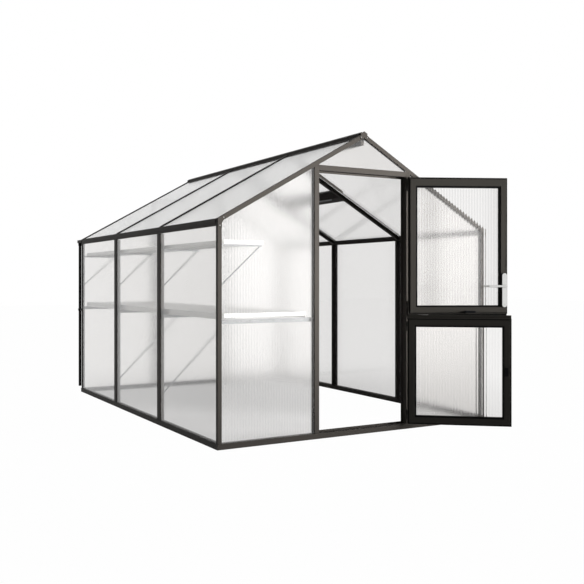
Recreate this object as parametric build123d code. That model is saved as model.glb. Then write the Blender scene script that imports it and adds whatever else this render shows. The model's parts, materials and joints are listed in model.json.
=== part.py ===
"""Garden greenhouse with ribbed twin-wall sheets in a dark aluminium frame.

Three bays long, gable roof, stable door in the front gable with two leaves
that swing outwards, staging along the left wall, a roof vent in the right
slope, and a gutter with a downpipe along each eave.

Frame: +X to the right of the door, +Y from the door to the back wall, +Z up.
The origin is on the ground at the middle of the door sill, in the plane of
the front posts' outer faces.  All sizes are in millimetres.
"""
import os
from math import cos, radians, sin, tan

from build123d import *

# Sheets and bays
sheet_width = 980.0
sheet_thickness = 16.0
bay_count = 3
groove_depth = 5.0
seat_gap = 0.3

# Overall form
building_width = 2200.0
eave_height = 1434.0
roof_pitch = 29.5

# Gable frames: square corner posts and rafters
frame_face = 28.0
frame_depth = 28.0

# Glazing bars: a flat cap over the sheet edges and a leg behind them
cap_width = 62.0
roof_cap_width = 38.0
cap_thickness = 5.0
leg_width = 28.0
leg_depth = 28.0

# Base rails
base_height = 36.0
base_proud = 4.0

# Ridge
ridge_cap_rise = 14.0
ridge_cap_half_width = 26.0
ridge_web_depth = 78.0

# Eave gutters, outlets and downpipes
gutter_width = 40.0
gutter_height = 30.0
gutter_wall = 3.0
plate_height = 15.0
roof_overhang = 19.0
outlet_length = 130.0
pipe_radius = 13.0
pipe_bore_radius = 11.5
pipe_end_margin = 22.0
pipe_foot_height = 42.0
clip_height = 20.0
clip_wall = 4.0
clip_level = 760.0

# Doorway
door_width = 724.0
jamb_width = 36.0
head_face = 36.0
head_clearance = 3.4
stop_lip = 12.0

# Door leaves
leaf_thickness = 36.0
leaf_side_gap = 7.0
leaf_end_gap = 6.0
leaf_face = 50.0
upper_leaf_head_face = 60.0
bead_width = 12.0
bead_recess = 8.0
seal_rebate_width = 11.0
seal_rebate_depth = 10.0
leaf_sheet_setback = 6.0
upper_leaf_bottom = 811.0
meeting_gap = 3.0
meeting_lip_height = 23.0
meeting_lip_thickness = 8.0
upper_leaf_angle = 154.5
lower_leaf_angle = 140.5

# Lift-off hinges
hinge_inset = 2.0
hinge_proud = 9.0
knuckle_radius = 7.0
knuckle_height = 34.0
hinge_pin_radius = 4.0
hinge_pin_height = 26.0
hinge_bore_clearance = 0.05
hinge_plate_width = 28.0
hinge_plate_thickness = 3.0
hinge_end_distance = 60.0

# Lever handle of the upper leaf
handle_plate_width = 34.0
handle_plate_height = 240.0
handle_plate_thickness = 8.0
handle_edge_distance = 25.0
handle_plate_bottom = 860.0
handle_level = 1008.0
lever_length = 118.0
lever_radius = 8.0
lever_neck_radius = 9.0
lever_neck_length = 38.0
spindle_radius = 5.0
spindle_clearance = 1.0

# Coupling bolt of the upper leaf and latch of the lower leaf
bolt_from_free_edge = 273.0
bolt_from_low_edge = 16.0
bolt_length = 74.0
bolt_height = 16.0
bolt_proud = 12.0
latch_height = 58.0
latch_width = 24.0
latch_proud = 10.0
latch_level = 420.0
latch_edge_distance = 36.0
latch_slot_height = 30.0
latch_slot_width = 10.0
latch_slot_depth = 4.0

# Roof vent
vent_top = 34.0
vent_length = 547.0
vent_lap = 20.0
vent_thickness = 20.0
vent_frame_face = 34.0
vent_sill_face = 56.0
vent_sill_lap = 34.0
stay_length = 260.0
stay_width = 10.0
stay_height = 6.0
stay_offset = 120.0

# Staging
shelf_wall_gap = 4.0
shelf_end_gap = 5.0
shelf_plate = 3.0
shelf_jamb_gap = 59.0
shelf_spacing = 460.0
upper_shelf_drop = 131.0
upper_shelf_width = 277.0
upper_apron = 24.0
lower_apron = 39.0
arm_width = 14.0
upper_arm_height = 14.0
lower_arm_height = 27.0
upper_arm_inset = 4.0
upper_strut_inset = 18.0
upper_strut_rise = 255.0
lower_strut_inset = 45.0
lower_strut_foot = 232.0
strut_radius = 5.0

# Gable corner plates
plate_thickness = 3.0
eave_plate_leg = 58.0
apex_plate_leg = 44.0
plate_fillet = 14.0

# One overrun for every cut
overrun = 5.0

# Worked out from the sizes above
half_width = building_width / 2
bay_pitch = sheet_width + leg_width
building_length = bay_count * bay_pitch + frame_depth
pitch_tan = tan(radians(roof_pitch))
pitch_cos = cos(radians(roof_pitch))
pitch_sin = sin(radians(roof_pitch))
ridge_height = eave_height + half_width * pitch_tan
bar_depth = cap_thickness + sheet_thickness + leg_depth
inner_face = half_width - bar_depth
base_depth = base_proud + bar_depth
jamb_depth = bar_depth
half_door = door_width / 2
rafter_under = ridge_height - half_door * pitch_tan - frame_face / pitch_cos
head_level = rafter_under - head_face - head_clearance
gutter_top = eave_height
gutter_bottom = gutter_top - gutter_height
plate_bottom = gutter_bottom - plate_height
gutter_outer = half_width + base_proud
gutter_inner = gutter_outer - gutter_width
eave_end = gutter_outer - roof_overhang
web_half = leg_width / 2
hinge_x = half_door - hinge_inset
hinge_y = -hinge_proud
half_leaf = half_door - leaf_side_gap
lower_leaf_top = upper_leaf_bottom - meeting_gap - meeting_lip_height
upper_shelf_top = eave_height - upper_shelf_drop
lower_shelf_top = upper_shelf_top - shelf_spacing
lower_shelf_width = inner_face - shelf_wall_gap - half_door - jamb_width - shelf_jamb_gap
bar_places = [frame_depth / 2 + index * bay_pitch for index in range(1, bay_count)]

nodes = {}


def block(x_range, y_range, z_range):
    """Box between two coordinates along each axis."""
    size = [high - low for low, high in (x_range, y_range, z_range)]
    middle = [(high + low) / 2 for low, high in (x_range, y_range, z_range)]
    return Pos(*middle) * Box(*size)


def prism_y(outline, y_start, y_end, margin=0):
    """Outline of (x, z) points, grown by a margin and extruded from y_start to y_end."""
    face = Polygon(*outline, align=None)
    if margin:
        face = offset(face, margin, kind=Kind.INTERSECTION)
    return extrude(Pos(0, y_start, 0) * (Plane.XZ * face), amount=y_end - y_start, dir=(0, 1, 0))


def prism_x(outline, x_start, x_end):
    """Outline of (y, z) points, extruded from x_start to x_end."""
    face = make_face(Polyline([(x_start, y, z) for y, z in outline], close=True))
    return extrude(face, amount=x_end - x_start, dir=(1, 0, 0))


def prism_z(outline, z_start, z_end):
    """Outline of (x, y) points, extruded from z_start to z_end."""
    face = make_face(Polyline([(x, y, z_start) for x, y in outline], close=True))
    return extrude(face, amount=z_end - z_start, dir=(0, 0, 1))


def rod(start, end, radius):
    """Round bar between two points."""
    axis = Vector(*end) - Vector(*start)
    return extrude(Plane(origin=start, z_dir=axis) * Circle(radius), amount=axis.length)


def mirror_x(shape):
    """The same piece on the other side of the door's middle plane."""
    return mirror(shape, about=Plane.YZ)


def mirror_back(shape):
    """The same piece at the other gable."""
    return mirror(shape, about=Plane.XZ.offset(-building_length / 2))


def both_sides(shape):
    """A piece and its mirror image across the door's middle plane."""
    return [shape, mirror_x(shape)]


def roof_z(x):
    """Height of the roof's outer line above a distance from the middle."""
    return ridge_height - abs(x) * pitch_tan


def below_roof(x, depth):
    """Height of the line that lies depth under the roof, square to it."""
    return roof_z(x) - depth / pitch_cos


def roof_strip(x_low, x_high, depth_top, depth_bottom, y_range):
    """Slab of the left slope between two depths under the roof line."""
    outline = [
        (-x_high, below_roof(x_high, depth_top)),
        (-x_low, below_roof(x_low, depth_top)),
        (-x_low, below_roof(x_low, depth_bottom)),
        (-x_high, below_roof(x_high, depth_bottom)),
    ]
    return prism_y(outline, *y_range)


def bay_span(index):
    """Where the sheets of a bay start and end, seated in the end frames' grooves."""
    start = frame_depth / 2 + index * bay_pitch + leg_width / 2 + seat_gap
    end = frame_depth / 2 + (index + 1) * bay_pitch - leg_width / 2 - seat_gap
    if index == 0:
        start = frame_depth - groove_depth
    if index == bay_count - 1:
        end = building_length - frame_depth + groove_depth
    return start, end


def add(name, *solids):
    """Keep the solids of one named piece."""
    nodes[name] = list(solids)


# Sheets of the front and back walls, drawn as outlines of (x, z)
sheet_y = (cap_thickness, cap_thickness + sheet_thickness)
groove_y = (sheet_y[0] - seat_gap, sheet_y[1] + seat_gap)
sheet_edge_drop = frame_face - groove_depth
sheet_foot = base_height - groove_depth
side_sheet_outline = [
    (-half_width + frame_face - groove_depth, sheet_foot),
    (-half_door - jamb_width + groove_depth, sheet_foot),
    (-half_door - jamb_width + groove_depth,
     below_roof(half_door + jamb_width - groove_depth, sheet_edge_drop)),
    (-half_width + frame_face - groove_depth,
     below_roof(half_width - frame_face + groove_depth, sheet_edge_drop)),
]
gable_foot = head_level + head_face - groove_depth
gable_half = (ridge_height - gable_foot - sheet_edge_drop / pitch_cos) / pitch_tan
gable_side = min(gable_half, half_door - seat_gap)
gable_sheet_outline = [
    (-gable_side, gable_foot),
    (gable_side, gable_foot),
    (gable_side, below_roof(gable_side, sheet_edge_drop)),
    (0, below_roof(0, sheet_edge_drop)),
    (-gable_side, below_roof(gable_side, sheet_edge_drop)),
]
middle_sheet_outline = [
    (-half_door - groove_depth, sheet_foot),
    (half_door + groove_depth, sheet_foot),
    (half_door + groove_depth, head_level + groove_depth),
    (-half_door - groove_depth, head_level + groove_depth),
]


def groove(outline):
    """Room that a wall sheet takes in the bars around it."""
    return prism_y(outline, *groove_y, margin=seat_gap)


side_groove = groove(side_sheet_outline)
gable_groove = groove(gable_sheet_outline)
front_grooves = Compound(children=[side_groove, mirror_x(side_groove), gable_groove])
back_grooves = Compound(children=[
    mirror_back(side_groove),
    mirror_back(mirror_x(side_groove)),
    mirror_back(gable_groove),
    mirror_back(groove(middle_sheet_outline)),
])


def side_sheet(index):
    """Wall sheet of one bay on the left, from the base rail to the eave plate."""
    outer = -half_width + cap_thickness
    return block((outer, outer + sheet_thickness), bay_span(index),
                 (sheet_foot, plate_bottom + groove_depth))


def side_groove_of(index):
    """Room that a left wall sheet takes in the bars around it."""
    outer = -half_width + cap_thickness
    start, end = bay_span(index)
    return block((outer - seat_gap, outer + sheet_thickness + seat_gap),
                 (start - seat_gap, end + seat_gap),
                 (sheet_foot - seat_gap, plate_bottom + groove_depth + seat_gap))


roof_sheet_depth = (cap_thickness, cap_thickness + sheet_thickness)


def roof_sheet(index, x_low, x_high):
    """Roof sheet of one bay on the left slope."""
    return roof_strip(x_low, x_high, *roof_sheet_depth, bay_span(index))


def roof_groove_of(index):
    """Room that a left roof sheet takes in the gable rafters."""
    start, end = bay_span(index)
    return roof_strip(0, half_width + overrun, roof_sheet_depth[0] - seat_gap,
                      roof_sheet_depth[1] + seat_gap, (start - seat_gap, end + seat_gap))


side_room = Compound(children=[side_groove_of(index) for index in range(bay_count)])
roof_room = Compound(children=[roof_groove_of(index) for index in (0, bay_count - 1)])


def make_base():
    """Four rails on the ground: sills across the gables, rails under the side walls."""
    rail_half = half_width + base_proud
    sill = block((-rail_half, rail_half), (-base_proud, base_depth - base_proud), (0, base_height))
    stop_y = leaf_thickness + leaf_end_gap
    stop = block((-half_door, half_door), (stop_y, base_depth - base_proud),
                 (base_height, base_height + stop_lip))
    side_rooms = both_sides(side_room)
    add("base_sill_front", (sill + stop) - front_grooves - side_rooms)
    add("base_sill_back", mirror_back(sill) - back_grooves - side_rooms)
    rail = block((-rail_half, -rail_half + base_depth),
                 (base_depth - base_proud, building_length - base_depth + base_proud),
                 (0, base_height))
    rail = rail - side_room
    add("base_rails_side", *both_sides(rail))


def make_corner_posts():
    """Square posts at the four corners, mitred to the gable rafters, with a leg inside."""
    inner = half_width - frame_face
    outline = [
        (-half_width, base_height),
        (-inner, base_height),
        (-inner, below_roof(inner, frame_face)),
        (-half_width, roof_z(half_width)),
    ]
    inner_leg = block((-half_width + groove_y[1], -inner), (groove_y[1], bar_depth),
                      (base_height, plate_bottom))
    front = prism_y(outline, 0, frame_depth) + inner_leg
    rooms = [side_room, roof_room]
    left = [front - front_grooves - rooms, mirror_back(front) - back_grooves - rooms]
    add("corner_posts", *left, *[mirror_x(post) for post in left])


def make_gable_rafters():
    """Square rafters of the two gables, grooved for the wall and roof sheets."""
    inner = half_width - frame_face
    outline = [
        (-half_width, roof_z(half_width)),
        (-inner, below_roof(inner, frame_face)),
        (0, below_roof(0, frame_face)),
        (0, ridge_height),
    ]
    front = prism_y(outline, 0, frame_depth)
    left = [(front - front_grooves) - roof_room, (mirror_back(front) - back_grooves) - roof_room]
    add("gable_rafters", *left, *[mirror_x(rafter) for rafter in left])


def make_side_posts():
    """T-shaped bars between the wall sheets: a cap outside and a leg inside."""
    posts = []
    for place in bar_places:
        cap = block((-half_width, -half_width + cap_thickness - seat_gap),
                    (place - cap_width / 2, place + cap_width / 2), (base_height, plate_bottom))
        leg = block((-half_width, -inner_face), (place - leg_width / 2, place + leg_width / 2),
                    (base_height, plate_bottom))
        posts.append(cap + leg)
    add("side_posts", *posts, *[mirror_x(post) for post in posts])


def make_roof_bars():
    """T-shaped bars between the roof sheets, from the gutter to the ridge web."""
    leg_bottom = roof_sheet_depth[1] + leg_depth
    bars = []
    for place in bar_places:
        cap = roof_strip(ridge_cap_half_width, eave_end, 0, cap_thickness - seat_gap,
                         (place - roof_cap_width / 2, place + roof_cap_width / 2))
        leg_y = (place - leg_width / 2, place + leg_width / 2)
        leg = roof_strip(web_half, gutter_inner - seat_gap, cap_thickness + seat_gap, leg_bottom, leg_y)
        neck = roof_strip(ridge_cap_half_width, gutter_inner - seat_gap, 0, leg_bottom, leg_y)
        bars.append(cap + leg + neck)
    add("roof_bars", *bars, *[mirror_x(bar) for bar in bars])


def make_ridge():
    """Ridge beam: a roof-shaped cap over the sheet ends and a web between them."""
    cap_under = cap_thickness - seat_gap
    web_foot = ridge_height - ridge_web_depth
    half = [
        (0, ridge_height + ridge_cap_rise),
        (ridge_cap_half_width - seat_gap,
         roof_z(ridge_cap_half_width - seat_gap) + ridge_cap_rise),
        (ridge_cap_half_width - seat_gap, below_roof(ridge_cap_half_width - seat_gap, cap_under)),
        (web_half - seat_gap, below_roof(web_half - seat_gap, cap_under)),
        (web_half - seat_gap, web_foot),
    ]
    outline = half + [(-x, z) for x, z in reversed(half[1:])]
    add("ridge_beam", prism_y(outline, frame_depth, building_length - frame_depth))


def make_gutters():
    """Eave channels of lip, floor and back over a wall plate, their end outlets and the downpipes."""
    y_ends = (frame_depth, building_length - frame_depth)
    seat_x = gutter_inner + gutter_wall
    seat_z = below_roof(seat_x, roof_sheet_depth[1]) - seat_gap
    plate_in = half_width - leg_width
    floor_top = gutter_bottom + gutter_wall
    outline = [
        (-gutter_outer, floor_top),
        (-gutter_outer, gutter_bottom),
        (-half_width, gutter_bottom),
        (-half_width, plate_bottom),
        (-plate_in, plate_bottom),
        (-plate_in, gutter_bottom),
        (-gutter_inner, gutter_bottom),
        (-gutter_inner, floor_top),
    ]
    gutter = prism_y(outline, *y_ends) - side_room
    lip = block((-gutter_outer, -gutter_outer + gutter_wall), y_ends, (floor_top, gutter_top))
    back = block((-seat_x, -gutter_inner), y_ends, (floor_top, seat_z))
    add("eave_gutters", *both_sides(gutter))
    add("gutter_lips", *both_sides(lip))
    add("gutter_backs", *both_sides(back))

    box_start = building_length + plate_thickness
    box_y = (box_start, box_start + outlet_length)
    box_top = gutter_top - gutter_wall
    trough = block((-gutter_outer, -gutter_inner), box_y, (gutter_bottom, box_top))
    hollow = block((-gutter_outer + gutter_wall, -gutter_inner - gutter_wall),
                   (box_y[0] + gutter_wall, box_y[1] - gutter_wall),
                   (gutter_bottom + gutter_wall, box_top + overrun))
    pipe_x = -(gutter_outer + gutter_inner) / 2
    pipe_y = box_y[1] - pipe_end_margin
    drain = rod((pipe_x, pipe_y, gutter_bottom - overrun), (pipe_x, pipe_y, box_top), pipe_bore_radius)
    add("gutter_outlets", *both_sides(trough - hollow - drain))

    foot, top = (pipe_x, pipe_y, pipe_foot_height), (pipe_x, pipe_y, gutter_bottom)
    pipe = rod(foot, top, pipe_radius) - rod(foot, top, pipe_bore_radius)
    add("downpipes", *both_sides(pipe))

    ring_radius = pipe_radius + seat_gap
    low, high = clip_level, clip_level + clip_height
    ring = rod((pipe_x, pipe_y, low), (pipe_x, pipe_y, high), ring_radius + clip_wall)
    arm = block((pipe_x - clip_wall, pipe_x + clip_wall), (building_length, pipe_y), (low, high))
    clip = (ring + arm) - rod((pipe_x, pipe_y, low - overrun), (pipe_x, pipe_y, high + overrun),
                              ring_radius)
    add("pipe_clips", *both_sides(clip))


def make_wall_sheets():
    """Ribbed twin-wall sheets of the four walls."""
    left = [side_sheet(index) for index in range(bay_count)]
    add("wall_sheets_left", *left)
    add("wall_sheets_right", *[mirror_x(sheet) for sheet in left])
    beside_door = prism_y(side_sheet_outline, *sheet_y)
    over_door = prism_y(gable_sheet_outline, *sheet_y)
    add("front_sheets", *both_sides(beside_door), over_door)
    middle = mirror_back(prism_y(middle_sheet_outline, *sheet_y))
    add("back_sheets", *[mirror_back(sheet) for sheet in both_sides(beside_door)],
        mirror_back(over_door), middle)


def make_roof_sheets():
    """Roof sheets, with the middle bay of the right slope shortened for the vent."""
    top = web_half
    left = [roof_sheet(index, top, eave_end) for index in range(bay_count)]
    add("roof_sheets_left", *left)
    right = [mirror_x(sheet) for sheet in left]
    right[vent_bay] = mirror_x(roof_sheet(vent_bay, sill_low_x, eave_end))
    add("roof_sheets_right", *right)


# Roof vent, laid out along the right slope from the ridge
vent_bay = bay_count // 2
vent_top_x = vent_top * pitch_cos
vent_low_x = (vent_top + vent_length) * pitch_cos
sill_top_x = vent_low_x - vent_sill_lap * pitch_cos
sill_low_x = sill_top_x + vent_sill_face * pitch_cos


def make_vent():
    """Closed sash that laps over the bars beside it, and the sill under its low rail."""
    start, end = bay_span(vent_bay)
    sash_y = (start - vent_lap, end + vent_lap)
    inner_y = (sash_y[0] + vent_frame_face, sash_y[1] - vent_frame_face)
    face = vent_frame_face * pitch_cos
    depths = (-seat_gap - vent_thickness, -seat_gap)
    rebate = (vent_thickness - sheet_thickness) / 2
    sheet_depths = (depths[0] + rebate, depths[1] - rebate)
    sheet_reach = groove_depth * pitch_cos
    sheet_x = (vent_top_x + face - sheet_reach, vent_low_x - face + sheet_reach)
    sheet_span = (inner_y[0] - groove_depth, inner_y[1] + groove_depth)
    sheet = roof_strip(*sheet_x, *sheet_depths, sheet_span)
    room = roof_strip(sheet_x[0] - seat_gap, sheet_x[1] + seat_gap, sheet_depths[0] - seat_gap,
                      sheet_depths[1] + seat_gap, (sheet_span[0] - seat_gap, sheet_span[1] + seat_gap))
    rails = [roof_strip(vent_top_x, vent_top_x + face, *depths, sash_y),
             roof_strip(vent_low_x - face, vent_low_x, *depths, sash_y)]
    stiles = [roof_strip(vent_top_x + face, vent_low_x - face, *depths, (sash_y[0], inner_y[0])),
              roof_strip(vent_top_x + face, vent_low_x - face, *depths, (inner_y[1], sash_y[1]))]
    add("vent_rails", *[mirror_x(rail - room) for rail in rails])
    add("vent_stiles", *[mirror_x(stile - room) for stile in stiles])
    add("vent_sheet", mirror_x(sheet))
    cap_lap = (roof_cap_width - leg_width) / 2
    sill_x = (sill_top_x, sill_low_x - seat_gap)
    sill = roof_strip(*sill_x, roof_sheet_depth[0], roof_sheet_depth[1] + leg_depth, (start, end))
    upstand = roof_strip(*sill_x, 0, roof_sheet_depth[0], (start + cap_lap, end - cap_lap))
    add("vent_sill", mirror_x(sill + upstand))


def make_stay():
    """Peg stay that lies along the inside of the vent sill."""
    start = bay_span(vent_bay)[0] + stay_offset
    depth = roof_sheet_depth[1] + leg_depth
    stay = roof_strip(sill_top_x, sill_top_x + stay_width * pitch_cos, depth, depth + stay_height,
                      (start, start + stay_length))
    add("vent_stay", mirror_x(stay))


def make_doorway():
    """Jambs and head with a stop lip behind the leaves, and the back wall's studs and tie."""
    stop_y = leaf_thickness + leaf_end_gap
    outer = half_door + jamb_width
    face = [
        (-outer, base_height),
        (-half_door, base_height),
        (-half_door, below_roof(half_door, frame_face)),
        (-outer, below_roof(outer, frame_face)),
    ]
    jamb = prism_y(face, 0, jamb_depth)
    lip = block((-half_door, -half_door + stop_lip), (stop_y, jamb_depth),
                (base_height + stop_lip, head_level - stop_lip))
    add("door_jamb_left", (jamb + lip) - front_grooves)
    add("door_jamb_right", mirror_x(jamb + lip) - front_grooves)
    add("back_studs", *[mirror_back(stud) - back_grooves for stud in both_sides(jamb)])
    head_top = head_level + head_face
    profile = [
        (0, head_level),
        (0, head_top),
        (jamb_depth, head_top),
        (jamb_depth, head_level - stop_lip),
        (stop_y, head_level - stop_lip),
        (stop_y, head_level),
    ]
    add("door_head", prism_x(profile, -half_door, half_door) - front_grooves)
    tie = block((-half_door, half_door), (0, jamb_depth), (head_level, head_top))
    add("back_tie", mirror_back(tie) - back_grooves)


def make_corner_plates():
    """Plates screwed over the joints of each gable, at the eaves and at the apex."""
    inner = half_width - frame_face
    leg_x = half_width - eave_plate_leg
    eave = [
        (-half_width, roof_z(half_width) - eave_plate_leg),
        (-inner, roof_z(half_width) - eave_plate_leg),
        (-inner, below_roof(inner, frame_face) - plate_fillet),
        (-inner + plate_fillet * pitch_cos, below_roof(inner - plate_fillet * pitch_cos, frame_face)),
        (-leg_x, below_roof(leg_x, frame_face)),
        (-leg_x - frame_face * pitch_sin, roof_z(leg_x + frame_face * pitch_sin)),
        (-half_width, roof_z(half_width)),
    ]
    apex_side = apex_plate_leg * pitch_cos
    slope_run = frame_face * pitch_sin
    apex = [
        (0, ridge_height + ridge_cap_rise),
        (ridge_cap_half_width, roof_z(ridge_cap_half_width) + ridge_cap_rise),
        (ridge_cap_half_width, roof_z(ridge_cap_half_width)),
        (apex_side, roof_z(apex_side)),
        (apex_side - slope_run, below_roof(apex_side - slope_run, frame_face)),
        (0, below_roof(0, frame_face)),
    ]
    apex += [(-x, z) for x, z in reversed(apex[1:-1])]
    eave_plate = prism_y(eave, -plate_thickness, 0)
    apex_plate = prism_y(apex, -plate_thickness, 0)
    front = both_sides(eave_plate) + [apex_plate]
    add("corner_plates", *front, *[mirror_back(plate) for plate in front])


def opened(shape, angle):
    """A leaf piece, drawn shut, swung open about the hinge axis."""
    pivot = Pos(hinge_x, hinge_y, 0)
    return pivot * Rot(0, 0, angle) * pivot.inverse() * shape


leaf_groove_back = leaf_sheet_setback + sheet_thickness


def leaf_section(face):
    """Leaf bar: distances from the leaf's edge and from its outside face, with bead, groove and rebate."""
    border = face + bead_width
    bottom = border - groove_depth - seat_gap
    return [
        (0, 0),
        (border, 0),
        (border, leaf_sheet_setback - seat_gap),
        (bottom, leaf_sheet_setback - seat_gap),
        (bottom, leaf_groove_back + seat_gap),
        (border, leaf_groove_back + seat_gap),
        (border, leaf_thickness - bead_recess),
        (face, leaf_thickness - bead_recess),
        (face, leaf_thickness),
        (seal_rebate_width, leaf_thickness),
        (seal_rebate_width, leaf_thickness - seal_rebate_depth),
        (0, leaf_thickness - seal_rebate_depth),
    ]


def leaf_rail(face, width):
    """Rail of a leaf with its outer edge down, mitred to the stiles at both ends."""
    side, border = leaf_face + bead_width, face + bead_width
    cut = [(0, 0), (side, border), (width - side, border), (width, 0)]
    bar = prism_x([(back, up) for up, back in leaf_section(face)], 0, width)
    return bar & prism_y(cut, 0, leaf_thickness)


def leaf_frame(z_low, z_high, head_face):
    """Mitred stiles and rails of a leaf, and its sheet, drawn shut."""
    height = z_high - z_low
    width = 2 * half_leaf
    side, head = leaf_face + bead_width, head_face + bead_width
    stile_cut = [(0, 0), (side, side), (side, height - head), (0, height)]
    stile = prism_z(leaf_section(leaf_face), 0, height) & prism_y(stile_cut, 0, leaf_thickness)
    corner = Pos(-half_leaf, 0, z_low)
    top_rail = mirror(leaf_rail(head_face, width), about=Plane.XY.offset(height / 2))
    edge = side - groove_depth
    sheet = block((-half_leaf + edge, half_leaf - edge), (leaf_sheet_setback, leaf_groove_back),
                  (z_low + edge, z_high - head + groove_depth))
    rails = [corner * leaf_rail(leaf_face, width), corner * top_rail]
    return both_sides(corner * stile), rails, sheet


def leaf_hinges(z_low, z_high):
    """Lift-off hinges of a leaf: the pins on the jamb and the sockets on the leaf, drawn shut."""
    bore = hinge_pin_radius + hinge_bore_clearance
    pins, sockets = [], []
    for level in (z_low + hinge_end_distance, z_high - hinge_end_distance):
        foot = (hinge_x, hinge_y, level - knuckle_height)
        joint = (hinge_x, hinge_y, level)
        lifted = (hinge_x, hinge_y, level + seat_gap)
        top = (hinge_x, hinge_y, level + knuckle_height)
        jamb_edge, leaf_edge = half_door, half_leaf
        plate_y = (-hinge_plate_thickness, 0)
        web_y = (hinge_y, 0)
        web = hinge_plate_thickness
        jamb_plate = block((jamb_edge, jamb_edge + hinge_plate_width), plate_y,
                           (level - knuckle_height, level))
        jamb_web = block((jamb_edge, jamb_edge + web), web_y, (level - knuckle_height, level))
        pin = rod(joint, (hinge_x, hinge_y, level + hinge_pin_height), hinge_pin_radius)
        pins.append(rod(foot, joint, knuckle_radius) + jamb_plate + jamb_web + pin)
        leaf_plate = block((leaf_edge - hinge_plate_width, leaf_edge), plate_y,
                           (level + seat_gap, level + knuckle_height))
        leaf_web = block((leaf_edge - web, leaf_edge), web_y, (level + seat_gap, level + knuckle_height))
        sockets.append((rod(lifted, top, knuckle_radius) + leaf_plate + leaf_web)
                       - rod((hinge_x, hinge_y, level - overrun), top, bore))
    return pins, sockets


def make_handle():
    """Lever handle of the upper leaf, drawn shut: long plates on both faces and a lever through them."""
    axis_x = -half_leaf + handle_edge_distance
    plate_z = (handle_plate_bottom, handle_plate_bottom + handle_plate_height)
    half_plate = handle_plate_width / 2
    hole_radius = spindle_radius + spindle_clearance
    y_out, y_in = -handle_plate_thickness, leaf_thickness + handle_plate_thickness
    hole = rod((axis_x, y_out - overrun, handle_level), (axis_x, y_in + overrun, handle_level), hole_radius)
    plates = []
    for y_range in ((y_out, 0), (leaf_thickness, y_in)):
        middle = block((axis_x - half_plate, axis_x + half_plate), y_range,
                       (plate_z[0] + half_plate, plate_z[1] - half_plate))
        ends = [rod((axis_x, y_range[0], level), (axis_x, y_range[1], level), half_plate)
                for level in (plate_z[0] + half_plate, plate_z[1] - half_plate)]
        plates.append(middle + ends - hole)
    spindle = rod((axis_x, y_out - lever_neck_length, handle_level),
                  (axis_x, y_in + lever_neck_length, handle_level), spindle_radius)
    levers = []
    for face, end in ((y_out - seat_gap, y_out - lever_neck_length),
                      (y_in + seat_gap, y_in + lever_neck_length)):
        neck = rod((axis_x, face, handle_level), (axis_x, end, handle_level), lever_neck_radius)
        arm = rod((axis_x, end, handle_level), (axis_x + lever_length, end, handle_level), lever_radius)
        levers += [neck, arm, Pos(axis_x, end, handle_level) * Sphere(lever_neck_radius),
                   Pos(axis_x + lever_length, end, handle_level) * Sphere(lever_radius)]
    return plates, spindle + levers, hole


def make_door():
    """Upper and lower leaf with hinges, handle, coupling bolt and latch, swung to where they stand."""
    upper = (upper_leaf_bottom, head_level - leaf_end_gap)
    lower = (base_height + leaf_end_gap, lower_leaf_top)
    stiles, rails, sheet = leaf_frame(*upper, upper_leaf_head_face)
    plates, lever, hole = make_handle()
    pins, sockets = leaf_hinges(*upper)
    swing = upper_leaf_angle
    add("upper_leaf_stiles", *[opened(stile - hole, swing) for stile in stiles])
    add("upper_leaf_rails", *[opened(rail, swing) for rail in rails])
    add("upper_leaf_sheet", opened(sheet, swing))
    add("upper_leaf_hinges", *[opened(socket, swing) for socket in sockets])
    add("handle_plates", *[opened(plate, swing) for plate in plates])
    add("lever_handle", opened(lever, swing))
    bolt_x = -half_leaf + bolt_from_free_edge
    bolt_z = upper_leaf_bottom + bolt_from_low_edge
    slide = SlotOverall(bolt_length, bolt_height)
    bolt = extrude(Pos(bolt_x, leaf_thickness, bolt_z) * (Plane.XZ * slide), amount=bolt_proud, dir=(0, 1, 0))
    add("coupling_bolt", opened(bolt, swing))

    swing = lower_leaf_angle
    stiles, rails, sheet = leaf_frame(*lower, leaf_face)
    lower_pins, sockets = leaf_hinges(*lower)
    lip = block((-half_leaf, half_leaf), (0, meeting_lip_thickness),
                (lower_leaf_top, lower_leaf_top + meeting_lip_height))
    add("lower_leaf_stiles", *[opened(stile, swing) for stile in stiles])
    add("lower_leaf_rails", opened(rails[0], swing), opened(rails[1] + lip, swing))
    add("lower_leaf_sheet", opened(sheet, swing))
    add("lower_leaf_hinges", *[opened(socket, swing) for socket in sockets])
    latch_x = -half_leaf + latch_edge_distance
    body = block((latch_x - latch_width / 2, latch_x + latch_width / 2),
                 (leaf_thickness, leaf_thickness + latch_proud),
                 (latch_level - latch_height / 2, latch_level + latch_height / 2))
    slot = block((latch_x - latch_slot_width / 2, latch_x + latch_slot_width / 2),
                 (leaf_thickness + latch_proud - latch_slot_depth, leaf_thickness + latch_proud + overrun),
                 (latch_level - latch_slot_height / 2, latch_level + latch_slot_height / 2))
    add("lower_leaf_latch", opened(body - slot, swing))
    add("hinge_pins", *pins, *lower_pins)


def shelf(top, apron, width):
    """Tray along the left wall with turned-down edges."""
    wall_x = -inner_face + shelf_wall_gap
    outline = [
        (wall_x, top),
        (wall_x + width, top),
        (wall_x + width, top - apron),
        (wall_x + width - shelf_plate, top - apron),
        (wall_x + width - shelf_plate, top - shelf_plate),
        (wall_x + shelf_plate, top - shelf_plate),
        (wall_x + shelf_plate, top - apron),
        (wall_x, top - apron),
    ]
    end = sheet_y[1] + shelf_end_gap
    return prism_y(outline, end, building_length - end)


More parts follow.
